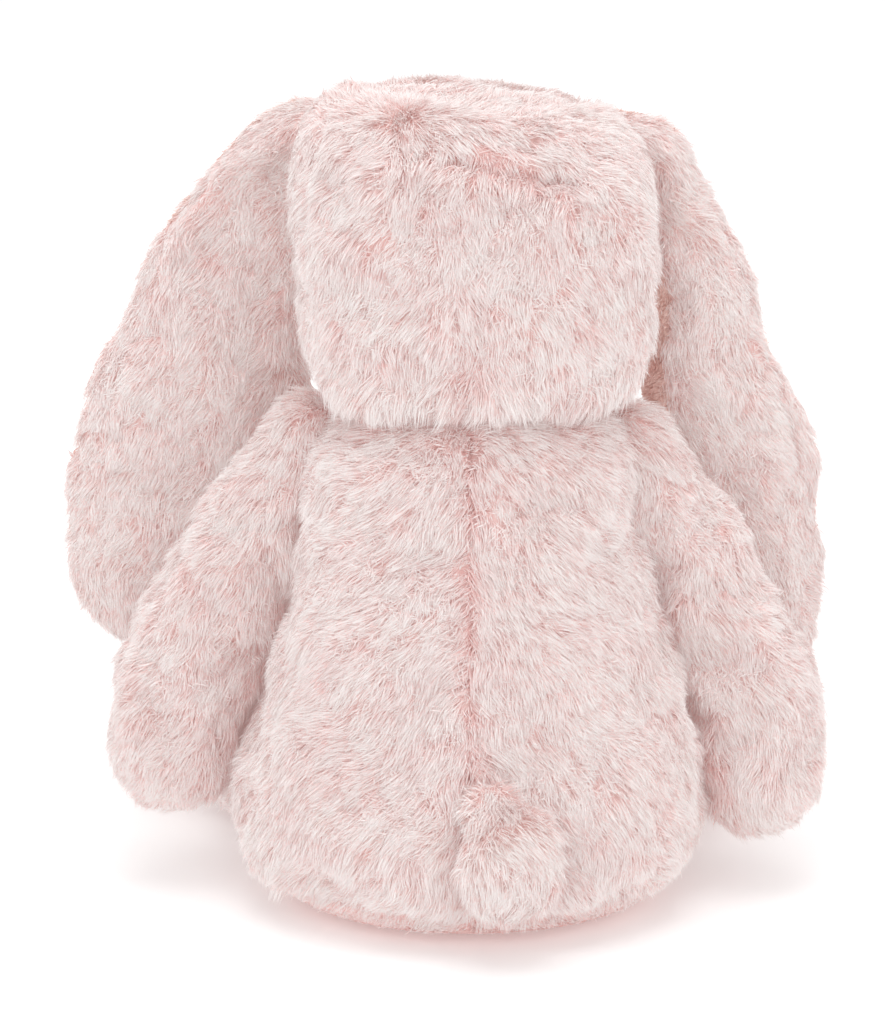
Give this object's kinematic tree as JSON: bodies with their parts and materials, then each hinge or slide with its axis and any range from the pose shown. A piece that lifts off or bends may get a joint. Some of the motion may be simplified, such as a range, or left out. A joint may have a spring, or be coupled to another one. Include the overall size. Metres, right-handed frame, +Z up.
{
  "type": "stuffed bunny rabbit",
  "caption": "Seated soft plush rabbit with long hanging lop ears, splayed legs, flat weighted seat and small round tail.",
  "frame": {"origin": "middle of the flat seat, on the floor", "axes": "+Z up, the rabbit faces -Y, its own left side is +X"},
  "size_m": [0.229, 0.2221, 0.247],
  "materials": {
    "plush": "matte",
    "lining": "matte",
    "stuffing": "matte",
    "pouch_cloth": "matte",
    "beans": "matte",
    "eye": "gloss",
    "washer": "matte",
    "thread": "satin"
  },
  "bodies": {
    "body": {"back_panel_left": "plush", "back_panel_right": "plush", "belly_panel": "plush", "base_panel": "plush", "body_stuffing": "stuffing", "bean_pouch": "pouch_cloth", "bean_fill": "beans", "tail_cover": "plush", "tail_stuffing": "stuffing"},
    "neck": {"neck_seam": "thread"},
    "head": {"head_back_left": "plush", "head_back_right": "plush", "head_crown": "plush", "face_left": "plush", "face_right": "plush", "head_stuffing": "stuffing", "eye_left": "eye", "eye_right": "eye", "eye_washer_left": "washer", "eye_washer_right": "washer", "nose_stitching": "thread", "mouth_stitching": "thread"},
    "ear_left": {"ear_back_left": "plush", "ear_lining_left": "lining"},
    "ear_right": {"ear_back_right": "plush", "ear_lining_right": "lining"},
    "arm_left": {"arm_front_left": "plush", "arm_back_left": "plush", "arm_stuffing_left": "stuffing"},
    "arm_right": {"arm_front_right": "plush", "arm_back_right": "plush", "arm_stuffing_right": "stuffing"},
    "leg_left": {"leg_top_left": "plush", "leg_under_left": "plush", "foot_sole_left": "lining", "leg_stuffing_left": "stuffing"},
    "leg_right": {"leg_top_right": "plush", "leg_under_right": "plush", "foot_sole_right": "lining", "leg_stuffing_right": "stuffing"}
  },
  "joints": [
    {"name": "neck_nod", "type": "hinge", "parent": "body", "child": "neck", "pos_m": [0, 0, 0.135], "axis": [1, 0, 0], "range_deg": [-10, 10], "stiffness_Nm_per_rad": 0.5},
    {"name": "head_tilt", "type": "hinge", "parent": "neck", "child": "head", "pos_m": [0, 0, 0.135], "axis": [0, 1, 0], "range_deg": [-8, 8], "stiffness_Nm_per_rad": 0.5},
    {"name": "ear_swing_left", "type": "hinge", "parent": "head", "child": "ear_left", "pos_m": [0.046, -0.038, 0.228], "axis": [0, -1, 0], "range_deg": [0, 85], "stiffness_Nm_per_rad": 0.01},
    {"name": "ear_swing_right", "type": "hinge", "parent": "head", "child": "ear_right", "pos_m": [-0.046, -0.038, 0.228], "axis": [0, 1, 0], "range_deg": [0, 85], "stiffness_Nm_per_rad": 0.01},
    {"name": "arm_raise_left", "type": "hinge", "parent": "body", "child": "arm_left", "pos_m": [0.046, 0.002, 0.137], "axis": [0, -1, 0], "range_deg": [0, 75], "stiffness_Nm_per_rad": 0.03},
    {"name": "arm_raise_right", "type": "hinge", "parent": "body", "child": "arm_right", "pos_m": [-0.046, 0.002, 0.137], "axis": [0, 1, 0], "range_deg": [0, 75], "stiffness_Nm_per_rad": 0.03},
    {"name": "leg_raise_left", "type": "hinge", "parent": "body", "child": "leg_left", "pos_m": [0.058, -0.052, 0.0225], "axis": [-0.9063, -0.4226, 0], "range_deg": [-40, 36], "stiffness_Nm_per_rad": 0.05},
    {"name": "leg_raise_right", "type": "hinge", "parent": "body", "child": "leg_right", "pos_m": [-0.058, -0.052, 0.0225], "axis": [-0.9063, 0.4226, 0], "range_deg": [-40, 36], "stiffness_Nm_per_rad": 0.05}
  ]
}
